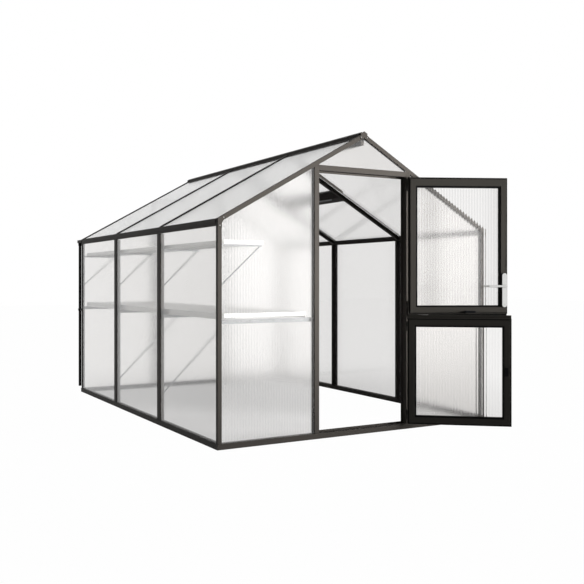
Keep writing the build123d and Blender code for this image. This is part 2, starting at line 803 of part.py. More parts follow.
def make_staging():
    """Two shelves on arms with raking struts; the lower one also rests on bearers at the gables."""
    add("upper_shelf", shelf(upper_shelf_top, upper_apron, upper_shelf_width))
    add("lower_shelf", shelf(lower_shelf_top, lower_apron, lower_shelf_width))
    corner_place = (groove_y[1] + bar_depth) / 2
    end_places = [corner_place, building_length - corner_place]
    upper_seat = upper_shelf_top - upper_apron
    lower_seat = lower_shelf_top - lower_apron
    corner_face = half_width - frame_face
    stands = [(inner_face, place) for place in bar_places] + [(corner_face, place) for place in end_places]
    arms, struts = [], []
    for face, place in stands:
        arms.append(shelf_arm(face, place, upper_seat, upper_arm_height,
                              inner_face - upper_shelf_width + upper_arm_inset))
        struts.append(shelf_strut(face, place, upper_seat - upper_arm_height,
                                  inner_face - upper_shelf_width + upper_strut_inset, upper_strut_rise))
    for place in bar_places:
        arms.append(shelf_arm(inner_face, place, lower_seat, lower_arm_height,
                              inner_face - lower_shelf_width))
        struts.append(shelf_strut(inner_face, place, lower_seat - lower_arm_height,
                                  inner_face - lower_shelf_width + lower_strut_inset,
                                  lower_seat - lower_arm_height - lower_strut_foot))
    for place in end_places:
        arms.append(shelf_arm(corner_face, place, lower_seat, lower_arm_height, half_door + jamb_width))
    add("shelf_arms", *arms)
    add("shelf_struts", *struts)


def shelf_arm(face, place, seat, height, end):
    """Level bar under a shelf, from a post's face to its end, both measured from the middle."""
    return block((-face, -end), (place - arm_width / 2, place + arm_width / 2), (seat - height, seat))


def shelf_strut(face, place, top, end, rise):
    """Round strut that rakes up from a post's face to the underside of an arm."""
    slope = rise / (face - end)
    low = (-face - overrun, place, top - rise - overrun * slope)
    high = (-end + overrun, place, top + overrun * slope)
    margin = strut_radius + overrun
    room = block((-face, -end + margin + overrun), (place - margin, place + margin),
                 (top - rise - margin - margin * slope, top))
    return rod(low, high, strut_radius) & room


def build():
    """Make every piece in turn."""
    make_base()
    make_corner_posts()
    make_gable_rafters()
    make_side_posts()
    make_roof_bars()
    make_ridge()
    make_gutters()
    make_wall_sheets()
    make_roof_sheets()
    make_vent()
    make_stay()
    make_doorway()
    make_corner_plates()
    make_door()
    make_staging()


build()
os.makedirs("parts", exist_ok=True)
for name, solids in nodes.items():
    export_step(Compound(children=solids), os.path.join("parts", f"{name}.step"))
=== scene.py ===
"""Looks of the garden greenhouse: finishes of its pieces, ribbed sheets, seals, screws, light and camera."""
from __future__ import annotations

import json
import logging
import math
from dataclasses import dataclass, field
from enum import Enum
from typing import Any

import bmesh
import bpy
from mathutils import Matrix, Vector

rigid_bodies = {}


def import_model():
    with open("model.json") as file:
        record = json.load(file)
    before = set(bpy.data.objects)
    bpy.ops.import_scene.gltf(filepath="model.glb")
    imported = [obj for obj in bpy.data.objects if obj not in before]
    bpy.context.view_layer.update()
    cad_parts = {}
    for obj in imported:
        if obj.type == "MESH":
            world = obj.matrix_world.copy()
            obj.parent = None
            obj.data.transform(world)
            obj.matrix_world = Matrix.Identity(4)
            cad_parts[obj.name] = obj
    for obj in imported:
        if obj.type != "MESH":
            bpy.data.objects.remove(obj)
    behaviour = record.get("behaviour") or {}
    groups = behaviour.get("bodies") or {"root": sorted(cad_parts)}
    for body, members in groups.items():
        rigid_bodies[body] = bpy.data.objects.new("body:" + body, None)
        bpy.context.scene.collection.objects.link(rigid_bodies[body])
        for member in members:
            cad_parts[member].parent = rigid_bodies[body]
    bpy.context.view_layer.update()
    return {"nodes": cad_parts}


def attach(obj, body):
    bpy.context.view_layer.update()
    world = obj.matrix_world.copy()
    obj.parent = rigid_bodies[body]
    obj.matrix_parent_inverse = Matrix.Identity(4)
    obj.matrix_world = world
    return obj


LOG = logging.getLogger("greenhouse")
MM = 0.001
# Points within this distance in metres are one, and edges past this angle in radians are sharp
MERGE = 0.00001
SHARP = 1.0
WHITE = "FFFFFF"


def linear(hex_colour: str) -> tuple[float, float, float, float]:
    """Turn an sRGB hex colour to linear light.

    Args:
        hex_colour: Colour written as six hex digits.

    Returns:
        Red, green and blue in linear light, and an alpha of one.
    """
    shares = [int(hex_colour[i:i + 2], 16) / 255 for i in (0, 2, 4)]
    red, green, blue = [s / 12.92 if s <= 0.04045 else ((s + 0.055) / 1.055) ** 2.4 for s in shares]
    return red, green, blue, 1.0


def add_node(tree: bpy.types.NodeTree, kind: str, links: dict[Any, bpy.types.NodeSocket] | None = None,
             values: dict[Any, Any] | None = None, **settings: Any) -> bpy.types.Node:
    """Add one node with its settings, socket values and incoming links.

    Args:
        tree: Node tree that gets the node.
        kind: Blender's name of the node type.
        links: Input names or numbers, and the sockets that feed them.
        values: Input names or numbers, and the values set on them.
        **settings: Properties of the node itself.

    Returns:
        The new node.
    """
    node = tree.nodes.new(kind)
    for name, value in settings.items():
        setattr(node, name, value)
    for name, value in (values or {}).items():
        node.inputs[name].default_value = value
    for name, socket in (links or {}).items():
        tree.links.new(socket, node.inputs[name])
    return node


def empty_tree(owner: bpy.types.Material | bpy.types.World) -> bpy.types.NodeTree:
    """Give a material or a world an empty node tree.

    Args:
        owner: The material or the world.

    Returns:
        Its node tree.
    """
    owner.use_nodes = True
    owner.node_tree.nodes.clear()
    return owner.node_tree


def start_material(name: str) -> tuple[bpy.types.Material, bpy.types.NodeTree, bpy.types.Node]:
    """Make an empty node material with a Principled shader on its output.

    Args:
        name: Name of the material.

    Returns:
        The material, its node tree and its Principled node.
    """
    material = bpy.data.materials.new(name)
    tree = empty_tree(material)
    shader = add_node(tree, "ShaderNodeBsdfPrincipled")
    add_node(tree, "ShaderNodeOutputMaterial", links={"Surface": shader.outputs["BSDF"]})
    return material, tree, shader


class Flutes(Enum):
    """Which way the flutes of a sheet are counted, as a turn about the upright axis in degrees."""

    ACROSS_FRONT = 0.0
    ALONG_SIDE = -90.0
    UPPER_LEAF = -154.5
    LOWER_LEAF = -140.5


@dataclass(frozen=True)
class PowderCoat:
    """Satin polyester powder coat on extruded aluminium, baked on.

    The eye gets a dark, slightly warm grey with a faint orange peel that softens its highlights.
    """

    name: str
    colour: str
    dust_colour: str
    roughness: float = 0.55
    sheen_spread: tuple[float, float] = (-0.05, 0.07)
    specular: float = 0.08
    peel_mm: float = 1.6
    peel_depth_mm: float = 0.2
    peel_strength: float = 0.12
    peel_detail: float = 2.0
    cloud_mm: float = 260.0
    cloud_detail: float = 4.0
    cloud_grit: float = 0.6

    def build(self) -> bpy.types.Material:
        """Make the material.

        Returns:
            The new material.
        """
        material, tree, shader = start_material(self.name)
        place = add_node(tree, "ShaderNodeTexCoord")
        clouds = add_node(tree, "ShaderNodeTexNoise", links={"Vector": place.outputs["Object"]},
                          values={"Scale": 1 / (self.cloud_mm * MM), "Detail": self.cloud_detail,
                                  "Roughness": self.cloud_grit})
        tint = add_node(tree, "ShaderNodeMix", data_type="RGBA",
                        links={"Factor": clouds.outputs["Fac"]},
                        values={"A": linear(self.colour), "B": linear(self.dust_colour)})
        peel = add_node(tree, "ShaderNodeTexNoise", links={"Vector": place.outputs["Object"]},
                        values={"Scale": 1 / (self.peel_mm * MM), "Detail": self.peel_detail})
        smoother, rougher = self.sheen_spread
        sheen = add_node(tree, "ShaderNodeMapRange", links={"Value": clouds.outputs["Fac"]},
                         values={"To Min": self.roughness + smoother, "To Max": self.roughness + rougher})
        bump = add_node(tree, "ShaderNodeBump", links={"Height": peel.outputs["Fac"]},
                        values={"Strength": self.peel_strength, "Distance": self.peel_depth_mm * MM})
        tree.links.new(tint.outputs["Result"], shader.inputs["Base Color"])
        tree.links.new(sheen.outputs["Result"], shader.inputs["Roughness"])
        tree.links.new(bump.outputs["Normal"], shader.inputs["Normal"])
        shader.inputs["Specular IOR Level"].default_value = self.specular
        return material


@dataclass(frozen=True)
class TwinWallSheet:
    """Milky polycarbonate, extruded as two skins with webs between them.

    The eye gets a pale glow that smears what stands behind it sideways, with a fine stripe at each web.
    """

    name: str
    flutes: Flutes
    colour: str
    web_colour: str
    flute_mm: float = 20.0
    skin_lean: float = 0.03
    roughness: float = 0.09
    web_haze: float = 0.04
    ior: float = 1.3
    plain_above: float = 10.0
    web_share: float = 0.40
    skin_passes: float = 0.978
    web_passes: float = 0.885

    def build(self) -> bpy.types.Material:
        """Make the material.

        Returns:
            The new material.
        """
        material, tree, shader = start_material(self.name)
        place = add_node(tree, "ShaderNodeTexCoord")
        turned = add_node(tree, "ShaderNodeMapping", links={"Vector": place.outputs["Object"]},
                          values={"Rotation": (0.0, 0.0, math.radians(self.flutes.value))})
        axes = add_node(tree, "ShaderNodeSeparateXYZ", links={"Vector": turned.outputs["Vector"]})
        # Real webs are thinner and closer, and would be too fine to show
        count = add_node(tree, "ShaderNodeMath", operation="DIVIDE", links={0: axes.outputs["X"]},
                         values={1: self.flute_mm * MM})
        wave = add_node(tree, "ShaderNodeMath", operation="PINGPONG", links={0: count.outputs["Value"]},
                        values={1: 0.5})
        web = add_node(tree, "ShaderNodeMapRange", interpolation_type="SMOOTHSTEP",
                       links={"Value": wave.outputs["Value"]},
                       values={"From Min": 0.0, "From Max": self.web_share, "To Min": 1.0, "To Max": 0.0})
        # Above a height in metres the sheet stays plain
        ribbed = add_node(tree, "ShaderNodeMath", operation="LESS_THAN", links={0: axes.outputs["Z"]},
                          values={1: self.plain_above})
        ribs = add_node(tree, "ShaderNodeMath", operation="MULTIPLY",
                        links={0: web.outputs["Result"], 1: ribbed.outputs["Value"]})
        passes = add_node(tree, "ShaderNodeMapRange", links={"Value": ribs.outputs["Value"]},
                          values={"To Min": self.skin_passes, "To Max": self.web_passes})
        tint = add_node(tree, "ShaderNodeMix", data_type="RGBA", links={"Factor": ribs.outputs["Value"]},
                        values={"A": linear(self.colour), "B": linear(self.web_colour)})
        haze = add_node(tree, "ShaderNodeMapRange", links={"Value": ribs.outputs["Value"]},
                        values={"To Min": self.roughness, "To Max": self.roughness + self.web_haze})
        tree.links.new(tint.outputs["Result"], shader.inputs["Base Color"])
        tree.links.new(passes.outputs["Result"], shader.inputs["Transmission Weight"])
        tree.links.new(haze.outputs["Result"], shader.inputs["Roughness"])
        tree.links.new(self.lean_skins(tree, count), shader.inputs["Normal"])
        shader.inputs["IOR"].default_value = self.ior
        return material

    def lean_skins(self, tree: bpy.types.NodeTree, count: bpy.types.Node) -> bpy.types.NodeSocket:
        """Curve each skin like a row of shallow lenses, one to a flute.

        Args:
            tree: Node tree of the sheet.
            count: Node that counts the flutes across the sheet.

        Returns:
            A socket with the leaning normal.
        """
        turn = math.radians(self.flutes.value)
        phase = add_node(tree, "ShaderNodeMath", operation="MULTIPLY", links={0: count.outputs["Value"]},
                         values={1: math.tau})
        lean = add_node(tree, "ShaderNodeMath", operation="COSINE", links={0: phase.outputs["Value"]})
        skin = add_node(tree, "ShaderNodeNewGeometry")
        side = add_node(tree, "ShaderNodeMapRange", links={"Value": skin.outputs["Backfacing"]},
                        values={"To Min": self.skin_lean, "To Max": -self.skin_lean})
        slope = add_node(tree, "ShaderNodeMath", operation="MULTIPLY",
                         links={0: lean.outputs["Value"], 1: side.outputs["Result"]})
        across = add_node(tree, "ShaderNodeVectorTransform", vector_type="VECTOR", convert_from="OBJECT",
                          convert_to="WORLD", values={"Vector": (math.cos(turn), -math.sin(turn), 0.0)})
        push = add_node(tree, "ShaderNodeVectorMath", operation="SCALE",
                        links={"Vector": across.outputs["Vector"], "Scale": slope.outputs["Value"]})
        bent = add_node(tree, "ShaderNodeVectorMath", operation="ADD",
                        links={0: skin.outputs["Normal"], 1: push.outputs["Vector"]})
        unit = add_node(tree, "ShaderNodeVectorMath", operation="NORMALIZE", links={0: bent.outputs["Vector"]})
        return unit.outputs["Vector"]


@dataclass(frozen=True)
class MillAluminium:
    """Bare aluminium as it leaves the rolling mill.

    The eye gets a pale grey metal with faint lines along its length.
    """

    name: str
    colour: str = "F0F0EE"
    line_mm: float = 3.0
    line_depth_mm: float = 0.3
    line_strength: float = 0.08
    line_detail: float = 3.0
    stretch: float = 60.0
    roughness: float = 0.42
    sheen_spread: float = 0.12
    metallic: float = 0.5

    def build(self) -> bpy.types.Material:
        """Make the material, with its lines along the greenhouse.

        Returns:
            The new material.
        """
        material, tree, shader = start_material(self.name)
        place = add_node(tree, "ShaderNodeTexCoord")
        drawn = add_node(tree, "ShaderNodeMapping", links={"Vector": place.outputs["Object"]},
                         values={"Scale": (1.0, 1 / self.stretch, 1.0)})
        lines = add_node(tree, "ShaderNodeTexNoise", links={"Vector": drawn.outputs["Vector"]},
                         values={"Scale": 1 / (self.line_mm * MM), "Detail": self.line_detail})
        sheen = add_node(tree, "ShaderNodeMapRange", links={"Value": lines.outputs["Fac"]},
                         values={"To Min": self.roughness - self.sheen_spread,
                                 "To Max": self.roughness + self.sheen_spread})
        bump = add_node(tree, "ShaderNodeBump", links={"Height": lines.outputs["Fac"]},
                        values={"Strength": self.line_strength, "Distance": self.line_depth_mm * MM})
        tree.links.new(sheen.outputs["Result"], shader.inputs["Roughness"])
        tree.links.new(bump.outputs["Normal"], shader.inputs["Normal"])
        shader.inputs["Base Color"].default_value = linear(self.colour)
        shader.inputs["Metallic"].default_value = self.metallic
        return material


@dataclass(frozen=True)
class GalvanisedSteel:
    """Steel strip and rod, dipped in molten zinc.

    The eye gets a mid grey metal with a patchwork of dull and bright zinc crystals.
    """

    name: str
    colour: str = "747677"
    bright_colour: str = "8E9091"
    crystal_mm: float = 9.0
    roughness: float = 0.48
    sheen_spread: tuple[float, float] = (-0.1, 0.12)
    metallic: float = 0.4

    def build(self) -> bpy.types.Material:
        """Make the material.

        Returns:
            The new material.
        """
        material, tree, shader = start_material(self.name)
        place = add_node(tree, "ShaderNodeTexCoord")
        crystals = add_node(tree, "ShaderNodeTexVoronoi", links={"Vector": place.outputs["Object"]},
                            values={"Scale": 1 / (self.crystal_mm * MM)})
        grey = add_node(tree, "ShaderNodeSeparateColor", links={"Color": crystals.outputs["Color"]})
        tint = add_node(tree, "ShaderNodeMix", data_type="RGBA", links={"Factor": grey.outputs["Red"]},
                        values={"A": linear(self.colour), "B": linear(self.bright_colour)})
        smoother, rougher = self.sheen_spread
        sheen = add_node(tree, "ShaderNodeMapRange", links={"Value": grey.outputs["Green"]},
                         values={"To Min": self.roughness + smoother, "To Max": self.roughness + rougher})
        tree.links.new(tint.outputs["Result"], shader.inputs["Base Color"])
        tree.links.new(sheen.outputs["Result"], shader.inputs["Roughness"])
        shader.inputs["Metallic"].default_value = self.metallic
        return material


@dataclass(frozen=True)
class BrushedSteel:
    """Stainless steel, brushed and then polished lightly.

    The eye gets a bright grey metal with short scratches that stretch its highlights.
    """

    name: str
    colour: str = "DCDCDA"
    scratch_mm: float = 0.8
    scratch_detail: float = 3.0
    stretch: float = 20.0
    roughness: float = 0.28
    sheen_spread: tuple[float, float] = (-0.08, 0.14)

    def build(self) -> bpy.types.Material:
        """Make the material, with its scratches upright.

        Returns:
            The new material.
        """
        material, tree, shader = start_material(self.name)
        place = add_node(tree, "ShaderNodeTexCoord")
        drawn = add_node(tree, "ShaderNodeMapping", links={"Vector": place.outputs["Object"]},
                         values={"Scale": (1.0, 1.0, 1 / self.stretch)})
        scratches = add_node(tree, "ShaderNodeTexNoise", links={"Vector": drawn.outputs["Vector"]},
                             values={"Scale": 1 / (self.scratch_mm * MM), "Detail": self.scratch_detail})
        smoother, rougher = self.sheen_spread
        sheen = add_node(tree, "ShaderNodeMapRange", links={"Value": scratches.outputs["Fac"]},
                         values={"To Min": self.roughness + smoother, "To Max": self.roughness + rougher})
        tree.links.new(sheen.outputs["Result"], shader.inputs["Roughness"])
        shader.inputs["Base Color"].default_value = linear(self.colour)
        shader.inputs["Metallic"].default_value = 1.0
        return material


@dataclass(frozen=True)
class MouldedBlack:
    """Black plastic or rubber, moulded or extruded, with a fine matt grain.

    The eye gets a near black that only lightens where it catches the light edge on.
    """

    name: str
    colour: str
    worn_colour: str
    roughness: float
    specular: float = 0.06
    grain_mm: float = 2.2
    grain_depth_mm: float = 0.2
    grain_strength: float = 0.15
    grain_detail: float = 3.0

    def build(self) -> bpy.types.Material:
        """Make the material.

        Returns:
            The new material.
        """
        material, tree, shader = start_material(self.name)
        place = add_node(tree, "ShaderNodeTexCoord")
        grain = add_node(tree, "ShaderNodeTexNoise", links={"Vector": place.outputs["Object"]},
                         values={"Scale": 1 / (self.grain_mm * MM), "Detail": self.grain_detail})
        tint = add_node(tree, "ShaderNodeMix", data_type="RGBA", links={"Factor": grain.outputs["Fac"]},
                        values={"A": linear(self.colour), "B": linear(self.worn_colour)})
        bump = add_node(tree, "ShaderNodeBump", links={"Height": grain.outputs["Fac"]},
                        values={"Strength": self.grain_strength, "Distance": self.grain_depth_mm * MM})
        tree.links.new(tint.outputs["Result"], shader.inputs["Base Color"])
        tree.links.new(bump.outputs["Normal"], shader.inputs["Normal"])
        shader.inputs["Roughness"].default_value = self.roughness
        shader.inputs["Specular IOR Level"].default_value = self.specular
        return material


@dataclass
class Finishes:
    """Every finish of the greenhouse, made once."""

    made: dict[str, bpy.types.Material] = field(default_factory=dict)

    def make(self) -> None:
        """Make the materials by name."""
        for finish in (
            PowderCoat("powder_coat_frame", "373431", "3C3936"),
            # Painted shade: the leaves get the frame's powder coat made darker, for the shade that falls on
            # the open leaves
            PowderCoat("powder_coat_leaves_painted_shade", "2E2C29", "33312E"),
            TwinWallSheet("twin_wall_front", Flutes.ACROSS_FRONT, "F9F8F7", "FBFAF9", roughness=0.20,
                          plain_above=1.80, skin_passes=0.984, web_passes=0.895),
            TwinWallSheet("twin_wall_side", Flutes.ALONG_SIDE, "ECEBEA", "F5F4F3", skin_lean=0.006,
                          roughness=0.05),
            # Painted shade: the upper leaf's sheet and webs are tinted greyer than the lower leaf's, for how
            # much less light it gets
            TwinWallSheet("twin_wall_upper_leaf_painted_shade", Flutes.UPPER_LEAF, "E4E3E2", "F2F1F0", skin_lean=0.06,
                          web_passes=0.95),
            TwinWallSheet("twin_wall_lower_leaf", Flutes.LOWER_LEAF, "F5F4F3", "FDFCFB", skin_lean=0.06,
                          web_passes=0.95),
            MillAluminium("mill_aluminium_staging"),
            GalvanisedSteel("galvanised_steel_bearers"),
            BrushedSteel("brushed_steel_fittings"),
            MouldedBlack("moulded_pvc_pipe", "0B0B0C", "121213", 0.5),
            MouldedBlack("extruded_rubber_seal", "0A0A0A", "101010", 0.7, grain_mm=1.4),
        ):
            self.made[finish.name] = finish.build()

    def put(self, thing: bpy.types.Object, name: str) -> None:
        """Give a piece one finish all over."""
        thing.data.materials.clear()
        thing.data.materials.append(self.made[name])


@dataclass
class PackedPieces:
    """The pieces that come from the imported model, with their finishes and softened edges."""

    nodes: dict[str, bpy.types.Object]
    edge_mm: float = 1.2
    edge_segments: int = 2
    edge_angle: float = 40.0
    touching: tuple[str, ...] = ("gable_rafters",)
    dressing: dict[str, tuple[str, ...]] = field(default_factory=lambda: {
        "powder_coat_frame": (
            "back_studs", "back_tie", "base_rails_side", "base_sill_back", "base_sill_front",
            "corner_plates", "corner_posts", "door_head", "door_jamb_left", "door_jamb_right",
            "eave_gutters", "gable_rafters", "gutter_backs", "gutter_lips", "gutter_outlets", "hinge_pins",
            "ridge_beam", "roof_bars", "side_posts", "vent_rails", "vent_sill", "vent_stiles"),
        "powder_coat_leaves_painted_shade": (
            "upper_leaf_stiles", "upper_leaf_rails", "upper_leaf_hinges", "lower_leaf_stiles",
            "lower_leaf_rails", "lower_leaf_hinges"),
        "twin_wall_front": ("front_sheets", "back_sheets"),
        "twin_wall_side": ("wall_sheets_left", "wall_sheets_right", "roof_sheets_left",
                           "roof_sheets_right", "vent_sheet"),
        "twin_wall_upper_leaf_painted_shade": ("upper_leaf_sheet",),
        "twin_wall_lower_leaf": ("lower_leaf_sheet",),
        "mill_aluminium_staging": ("upper_shelf", "lower_shelf"),
        "galvanised_steel_bearers": ("shelf_arms", "shelf_struts", "vent_stay"),
        "brushed_steel_fittings": ("lever_handle", "handle_plates"),
        "moulded_pvc_pipe": ("downpipes", "pipe_clips", "lower_leaf_latch", "coupling_bolt"),
    })

    def dress(self, finishes: Finishes) -> None:
        """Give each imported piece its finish.

        Args:
            finishes: The finishes of the greenhouse.
        """
        for finish, names in self.dressing.items():
            for name in names:
                finishes.put(self.nodes[name], finish)
                LOG.info("dressed %s with %s", name, finish)

    def soften(self) -> None:
        """Weld and bevel the hard pieces for their highlights, apart from those whose solids touch."""
        for finish, names in self.dressing.items():
            if finish.startswith("twin_wall"):
                continue
            for name in names:
                if name in self.touching:
                    continue
                thing = self.nodes[name]
                thing.modifiers.new("weld", "WELD").merge_threshold = MERGE
                edge = thing.modifiers.new("edge", "BEVEL")
                edge.width = self.edge_mm * MM
                edge.segments = self.edge_segments
                edge.limit_method = "ANGLE"
                edge.angle_limit = math.radians(self.edge_angle)


def keep_piece(shape: bmesh.types.BMesh, name: str, body: str,
               place: Matrix | None = None) -> bpy.types.Object:
    """Turn a finished bmesh into a piece that rides on a body.

    Args:
        shape: The bmesh, in metres, which is freed.
        name: Name of the piece.
        body: Body that it moves with.
        place: Transform that takes it to its place.

    Returns:
        The new object.
    """
    if place is not None:
        bmesh.ops.transform(shape, matrix=place, verts=shape.verts)
    bmesh.ops.remove_doubles(shape, verts=shape.verts, dist=MERGE)
    bmesh.ops.recalc_face_normals(shape, faces=shape.faces)
    mesh = bpy.data.meshes.new(name)
    shape.to_mesh(mesh)
    shape.free()
    piece = bpy.data.objects.new(name, mesh)
    bpy.context.scene.collection.objects.link(piece)
    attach(piece, body)
    LOG.info("built %s on %s", name, body)
    return piece


def new_verts(grown: dict[str, list[Any]]) -> list[bmesh.types.BMVert]:
    """Pick the vertices out of what an extrusion made."""
    return [part for part in grown["geom"] if isinstance(part, bmesh.types.BMVert)]


def sharp_edges(shape: bmesh.types.BMesh) -> list[bmesh.types.BMEdge]:
    """List the edges at which the faces of a bmesh turn sharply."""
    return [edge for edge in shape.edges if edge.calc_face_angle(0.0) > SHARP]


def round_edges(shape: bmesh.types.BMesh, edges: list[bmesh.types.BMEdge], radius_mm: float,
                segments: int) -> None:
    """Round some edges of a bmesh.

    Args:
        shape: The bmesh.
        edges: The edges to round.
        radius_mm: How far the rounding reaches, in millimetres.
        segments: Number of faces across it.
    """
    bmesh.ops.bevel(shape, geom=edges, offset=radius_mm * MM, offset_type="OFFSET", segments=segments,
                    profile=0.5, affect="EDGES", material=-1)


@dataclass(frozen=True)
class Leaf:
    """Where one door leaf stands, with its sizes in millimetres as drawn shut."""

    body: str
    angle: float
    low: float
    high: float
    head_face: float
    half_width: float = 355.0
    side_face: float = 50.0
    hinge: tuple[float, float] = (360.0, -9.0)
    hinge_end: float = 60.0

    def swing(self) -> Matrix:
        """Give the turn from shut to where the leaf stands."""
        pivot = Matrix.Translation((self.hinge[0] * MM, self.hinge[1] * MM, 0.0))
        return pivot @ Matrix.Rotation(math.radians(self.angle), 4, "Z") @ pivot.inverted()

    def hinge_levels(self) -> tuple[float, float]:
        """Give the heights at which the knuckles of its two hinges meet."""
        return self.low + self.hinge_end, self.high - self.hinge_end


UPPER_LEAF = Leaf("upper_leaf", 154.5, 811.0, 1774.0, 60.0)
LOWER_LEAF = Leaf("lower_leaf", 140.5, 42.0, 785.0, 50.0)
# The brush is short near the hinges, where a longer one would cross the lower leaf's lip
MEETING_BRUSH = ((-350.0, 214.0, 12.0), (214.0, 350.0, 2.4))


@dataclass
class DoorTrim:
    """Rubber of a door leaf: a gasket round its sheet, a seal in its edge and a brush where leaves meet.

    Sizes are in millimetres, and each length of brush is given by its start, its end and its drop.
    """

    leaf: Leaf
    fit: float = 0.2
    gasket_width: float = 11.6
    gasket_faces: tuple[float, float] = (28.05, 33.4)
    seal_width: float = 6.0
    seal_faces: tuple[float, float] = (26.1, 30.0)
    seal_margin: float = 4.4
    lip: float = 1.4
    lip_segments: int = 2
    brush_spans: tuple[tuple[float, float, float], ...] = ()
    brush_faces: tuple[float, float] = (16.0, 28.0)
    brush_gap: float = 0.1
    tuft: float = 6.0
    tuft_shares: tuple[float, float] = (0.6, 0.52)
    tuft_sides: int = 8

    def build(self, finishes: Finishes) -> None:
        """Make both rubbers, and the brush if there is one, and dress them.

        Args:
            finishes: The finishes of the greenhouse.
        """
        leaf = self.leaf
        inset = leaf.side_face + self.fit
        gasket = self.ring((leaf.half_width - inset, leaf.low + inset, leaf.high - leaf.head_face - self.fit),
                           self.gasket_width, self.gasket_faces)
        margin = self.seal_margin
        seal = self.ring((leaf.half_width - margin, leaf.low + margin, leaf.high - margin),
                         self.seal_width, self.seal_faces)
        shapes = {"glazing_gasket": gasket, "edge_seal": seal}
        if self.brush_spans:
            shapes["meeting_brush"] = self.brush()
        for part, shape in shapes.items():
            piece = keep_piece(shape, f"{leaf.body}_{part}", leaf.body, leaf.swing())
            finishes.put(piece, "extruded_rubber_seal")

    def brush(self) -> bmesh.types.BMesh:
        """Make the brush under a leaf, a row of bristle tufts that is shorter near the hinges.

        Returns:
            The brush in metres, as the leaf is drawn shut.
        """
        back, front = self.brush_faces
        top = self.leaf.low - self.brush_gap
        foot_share, top_share = self.tuft_shares
        shape = bmesh.new()
        for start, end, drop in self.brush_spans:
            count = int((end - start) / self.tuft)
            size = Matrix.Diagonal(Vector((self.tuft * MM, (front - back) * MM, MM, 1.0)))
            for step in range(count):
                along = start + (step + 0.5) * self.tuft
                middle = Vector((along, (back + front) / 2, top - drop / 2)) * MM
                bmesh.ops.create_cone(shape, cap_ends=True, segments=self.tuft_sides, radius1=foot_share,
                                      radius2=top_share, depth=drop, matrix=Matrix.Translation(middle) @ size)
        return shape

    def ring(self, reach: tuple[float, float, float], width: float,
             faces: tuple[float, float]) -> bmesh.types.BMesh:
        """Make an upright rectangular ring with rounded edges.

        Args:
            reach: Half its width, its foot and its top.
            width: Width of the rubber, seen from the front.
            faces: Its outer and inner face, across the leaf.

        Returns:
            The ring in metres, as the leaf is drawn shut.
        """
        half, low, high = reach
        shape = bmesh.new()
        bmesh.ops.create_grid(shape, x_segments=1, y_segments=1, size=0.5)
        bmesh.ops.scale(shape, vec=Vector((2 * half, high - low, 1.0)) * MM, verts=shape.verts)
        panel = shape.faces[:]
        bmesh.ops.inset_region(shape, faces=panel, thickness=width * MM, use_boundary=True,
                               use_even_offset=True)
        bmesh.ops.delete(shape, geom=panel, context="FACES")
        raised = new_verts(bmesh.ops.extrude_face_region(shape, geom=shape.faces[:], use_keep_orig=True))
        bmesh.ops.translate(shape, vec=Vector((0.0, 0.0, (faces[1] - faces[0]) * MM)), verts=raised)
        bmesh.ops.recalc_face_normals(shape, faces=shape.faces)
        round_edges(shape, sharp_edges(shape), self.lip, self.lip_segments)
        upright = Matrix.Translation((0.0, faces[1] * MM, (low + high) / 2 * MM)) @ Matrix.Rotation(
            math.radians(90.0), 4, "X")
        bmesh.ops.transform(shape, matrix=upright, verts=shape.verts)
        return shape


@dataclass
class TrayEnds:
    """Folded plates that close the open ends of the two staging trays, in millimetres."""

    left: float = -1043.9
    ends: tuple[float, float] = (26.2, 3025.8)
    trays: dict[str, tuple[float, float]] = field(default_factory=lambda: {
        "upper_tray": (-773.1, 1299.9), "lower_tray": (-460.1, 839.9)})
    height: float = 22.0
    fold: float = 12.0
    bend: float = 2.0
    bend_segments: int = 3
    gauge: float = 1.5

    def build(self, finishes: Finishes) -> None:
        """Make the four plates and dress them.

        Args:
            finishes: The finishes of the greenhouse.
        """
        for name, (right, top) in self.trays.items():
            for end, face, inwards in (("front", self.ends[0], 1.0), ("back", self.ends[1], -1.0)):
                shape = self.plate(right, top, face, inwards)
                piece = keep_piece(shape, f"{name}_{end}_plate", "greenhouse")
                finishes.put(piece, "mill_aluminium_staging")

    def plate(self, right: float, top: float, face: float, inwards: float) -> bmesh.types.BMesh:
        """Make one plate with a lip folded inwards at its foot.

        Args:
            right: Where its right edge is.
            top: Height of its top edge.
            face: Where its outer face is, along the greenhouse.
            inwards: One or minus one, the way to the middle of the tray.

        Returns:
            The plate in metres.
        """
        shape = bmesh.new()
        bmesh.ops.create_grid(shape, x_segments=1, y_segments=1, size=0.5)
        upright = (Matrix.Translation(Vector(((self.left + right) / 2, face, top - self.height / 2)) * MM)
                   @ Matrix.Rotation(math.radians(90.0), 4, "X")
                   @ Matrix.Diagonal(Vector(((right - self.left) * MM, self.height * MM, 1.0, 1.0))))
        bmesh.ops.transform(shape, matrix=upright, verts=shape.verts)
        lowest = min(vert.co.z for vert in shape.verts)
        foot = [edge for edge in shape.edges if all(vert.co.z < lowest + MERGE for vert in edge.verts)]
        lip = new_verts(bmesh.ops.extrude_edge_only(shape, edges=foot))
        bmesh.ops.translate(shape, vec=Vector((0.0, inwards * self.fold * MM, 0.0)), verts=lip)
        folded = [edge for edge in shape.edges if len(edge.link_faces) == 2]
        round_edges(shape, folded, self.bend, self.bend_segments)
        bmesh.ops.recalc_face_normals(shape, faces=shape.faces)
        outer = min(shape.faces, key=lambda part: inwards * part.calc_center_median().y)
        if outer.normal.y * inwards > 0:
            bmesh.ops.reverse_faces(shape, faces=shape.faces)
        bmesh.ops.solidify(shape, geom=shape.faces[:], thickness=self.gauge * MM)
        return shape


